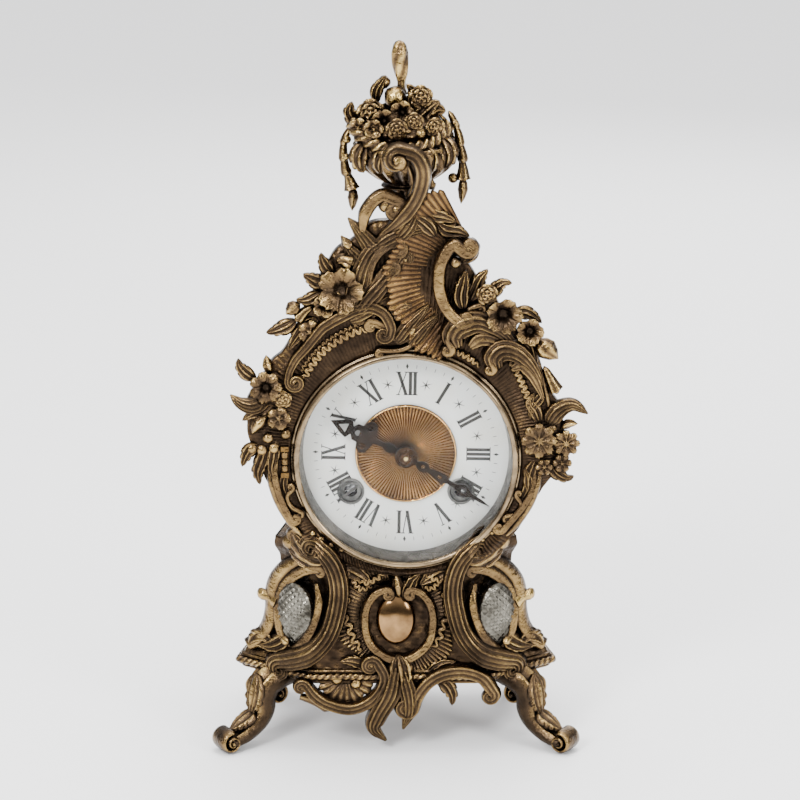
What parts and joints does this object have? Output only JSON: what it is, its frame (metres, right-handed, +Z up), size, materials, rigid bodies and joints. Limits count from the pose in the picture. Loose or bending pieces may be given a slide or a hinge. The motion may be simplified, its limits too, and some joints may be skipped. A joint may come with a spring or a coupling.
{
  "type": "mantel clock",
  "caption": "Rococo mantel clock: round dial with domed glass in a cast brass front of flowers and scrolls, on a waisted base with scroll feet, an urn on top and a striking movement inside.",
  "frame": {"origin": "on the floor, under the middle of the clock's box", "axes": "+Z up, the dial faces -Y, +X to the right seen from the front"},
  "size_m": [0.2204, 0.118, 0.42],
  "materials": {
    "antique_brass": "cast, antique patina dark in the hollows, worn bright on the high parts",
    "dark_brass": "turned sheet, dark patina",
    "bezel_brass": "turned and polished, lightly tarnished",
    "movement_brass": "machined, satin",
    "copper_gilt": "engine-turned sunburst",
    "steel": "plain steel",
    "blued_steel": "black-brown, satin",
    "nickel": "turned, soft grey shine",
    "enamel": "white enamel with black numerals",
    "glass": "clear domed glass"
  },
  "bodies": {
    "case": {"drum_body": "dark_brass", "front_casting": "antique_brass", "base_casting": "antique_brass", "plinth_ledge": "antique_brass", "foot_front_left": "antique_brass", "foot_front_right": "antique_brass", "foot_rear_left": "antique_brass", "foot_rear_right": "antique_brass", "urn_bowl": "antique_brass", "bouquet_and_bud": "antique_brass", "husk_drop_left": "antique_brass", "husk_drop_right": "antique_brass", "bezel_hinge": "bezel_brass", "back_hinge": "dark_brass", "dial": "enamel", "dial_centre_disc": "copper_gilt", "winding_grommet_left": "steel", "winding_grommet_right": "steel", "front_plate": "movement_brass", "back_plate": "movement_brass", "pillar_top_left": "movement_brass", "pillar_top_right": "movement_brass", "pillar_bottom_left": "movement_brass", "pillar_bottom_right": "movement_brass", "movement_ring": "steel", "suspension_cock": "movement_brass", "bell_stand": "steel", "bell": "movement_brass"},
    "bezel": {"bezel_ring": "bezel_brass", "bezel_glass": "glass", "sight_ring": "nickel"},
    "door": {"back_door": "dark_brass"},
    "minute_set": {"minute_hand": "blued_steel", "hand_nut": "bezel_brass", "cannon_pinion": "movement_brass"},
    "hour_set": {"hour_hand": "blued_steel", "hour_wheel": "movement_brass"},
    "minute_work": {"minute_wheel": "movement_brass"},
    "going_drum": {"going_barrel": "movement_brass", "going_mainspring": "steel"},
    "going_arbor": {"going_winding_arbor": "steel"},
    "going_pawl": {"going_click": "steel"},
    "going_second": {"going_intermediate_wheel": "movement_brass"},
    "centre": {"centre_wheel": "movement_brass"},
    "third": {"third_wheel": "movement_brass"},
    "fourth": {"fourth_wheel": "movement_brass"},
    "escape": {"escape_wheel": "movement_brass"},
    "pallets": {"anchor": "steel"},
    "pendulum": {"pendulum_rod": "steel", "pendulum_bob": "movement_brass", "rating_nut": "movement_brass"},
    "strike_drum": {"strike_barrel": "movement_brass", "strike_mainspring": "steel"},
    "strike_arbor": {"strike_winding_arbor": "steel"},
    "strike_pawl": {"strike_click": "steel"},
    "strike_second": {"strike_intermediate_wheel": "movement_brass"},
    "pin": {"pin_wheel": "movement_brass"},
    "warning": {"warning_wheel": "movement_brass"},
    "fan": {"fly": "movement_brass"},
    "striker": {"hammer": "steel"}
  },
  "joints": [
    {"name": "bezel_swing", "type": "hinge", "parent": "case", "child": "bezel", "pos_m": [-0.0655, -0.0478, 0.178], "axis": [0, 0, -1], "range_deg": [0, 110]},
    {"name": "back_door_swing", "type": "hinge", "parent": "case", "child": "door", "pos_m": [0.0828, 0.04678, 0.178], "axis": [0, 0, -1], "range_deg": [0, 120]},
    {"name": "minute_hand_turn", "type": "hinge", "parent": "case", "child": "minute_set", "pos_m": [0.004, -0.0387, 0.178], "axis": [0, 1, 0], "continuous": true},
    {"name": "hour_hand_turn", "type": "hinge", "parent": "case", "child": "hour_set", "pos_m": [0.004, -0.0361, 0.178], "axis": [0, 1, 0], "continuous": true},
    {"name": "minute_wheel_turn", "type": "hinge", "parent": "case", "child": "minute_work", "pos_m": [0.004, -0.025, 0.1636], "axis": [0, 1, 0], "continuous": true},
    {"name": "going_winding", "type": "hinge", "parent": "case", "child": "going_arbor", "pos_m": [0.036, -0.024, 0.155], "axis": [0, 1, 0], "continuous": true},
    {"name": "strike_winding", "type": "hinge", "parent": "case", "child": "strike_arbor", "pos_m": [-0.028, -0.024, 0.155], "axis": [0, 1, 0], "continuous": true},
    {"name": "going_click_lift", "type": "hinge", "parent": "case", "child": "going_pawl", "pos_m": [0.048, -0.024, 0.161], "axis": [0, 1, 0], "range_deg": [-15, 0]},
    {"name": "strike_click_lift", "type": "hinge", "parent": "case", "child": "strike_pawl", "pos_m": [-0.04, -0.024, 0.161], "axis": [0, 1, 0], "range_deg": [0, 15]},
    {"name": "fourth_wheel_turn", "type": "hinge", "parent": "case", "child": "fourth", "pos_m": [0.0178, 0, 0.2092], "axis": [0, 1, 0], "continuous": true},
    {"name": "going_barrel_turn", "type": "hinge", "parent": "case", "child": "going_drum", "pos_m": [0.036, 0, 0.155], "axis": [0, 1, 0], "continuous": true},
    {"name": "going_intermediate_turn", "type": "hinge", "parent": "case", "child": "going_second", "pos_m": [0.02604, 0, 0.17723], "axis": [0, 1, 0], "continuous": true},
    {"name": "centre_wheel_turn", "type": "hinge", "parent": "case", "child": "centre", "pos_m": [0.004, 0, 0.178], "axis": [0, 1, 0], "continuous": true},
    {"name": "third_wheel_turn", "type": "hinge", "parent": "case", "child": "third", "pos_m": [0.01317, 0, 0.19524], "axis": [0, 1, 0], "continuous": true},
    {"name": "escape_wheel_turn", "type": "hinge", "parent": "case", "child": "escape", "pos_m": [0.004, 0, 0.209], "axis": [0, 1, 0], "continuous": true},
    {"name": "pendulum_swing", "type": "hinge", "parent": "case", "child": "pendulum", "pos_m": [0.004, 0.0213, 0.222], "axis": [0, 1, 0], "range_deg": [-4, 4]},
    {"name": "anchor_swing", "type": "hinge", "parent": "case", "child": "pallets", "pos_m": [0.004, 0.007, 0.222], "axis": [0, 1, 0], "range_deg": [-4, 4]},
    {"name": "pin_wheel_turn", "type": "hinge", "parent": "case", "child": "pin", "pos_m": [-0.02558, 0, 0.19795], "axis": [0, 1, 0], "continuous": true},
    {"name": "strike_barrel_turn", "type": "hinge", "parent": "case", "child": "strike_drum", "pos_m": [-0.028, 0, 0.155], "axis": [0, 1, 0], "continuous": true},
    {"name": "strike_intermediate_turn", "type": "hinge", "parent": "case", "child": "strike_second", "pos_m": [-0.01804, 0, 0.17723], "axis": [0, 1, 0], "continuous": true},
    {"name": "warning_wheel_turn", "type": "hinge", "parent": "case", "child": "warning", "pos_m": [-0.02303, 0, 0.21243], "axis": [0, 1, 0], "continuous": true},
    {"name": "fly_turn", "type": "hinge", "parent": "case", "child": "fan", "pos_m": [-0.01222, 0, 0.21636], "axis": [0, 1, 0], "continuous": true},
    {"name": "hammer_lift", "type": "hinge", "parent": "case", "child": "striker", "pos_m": [-0.04, 0.02, 0.181], "axis": [0, 1, 0], "range_deg": [-14, 0]}
  ],
  "couplings": [
    {"joint": "hour_hand_turn", "follows": "minute_hand_turn", "ratio": 0.083333},
    {"joint": "minute_wheel_turn", "follows": "minute_hand_turn", "ratio": -0.33333},
    {"joint": "third_wheel_turn", "follows": "fourth_wheel_turn", "ratio": -0.16667},
    {"joint": "centre_wheel_turn", "follows": "fourth_wheel_turn", "ratio": 0.027778},
    {"joint": "going_intermediate_turn", "follows": "fourth_wheel_turn", "ratio": -0.0046296},
    {"joint": "going_barrel_turn", "follows": "fourth_wheel_turn", "ratio": 0.0007716},
    {"joint": "escape_wheel_turn", "follows": "fourth_wheel_turn", "ratio": -5.6667},
    {"joint": "anchor_swing", "follows": "pendulum_swing", "ratio": 1},
    {"joint": "strike_intermediate_turn", "follows": "pin_wheel_turn", "ratio": -0.16667},
    {"joint": "strike_barrel_turn", "follows": "pin_wheel_turn", "ratio": 0.027778},
    {"joint": "warning_wheel_turn", "follows": "pin_wheel_turn", "ratio": -6},
    {"joint": "fly_turn", "follows": "pin_wheel_turn", "ratio": 34}
  ]
}
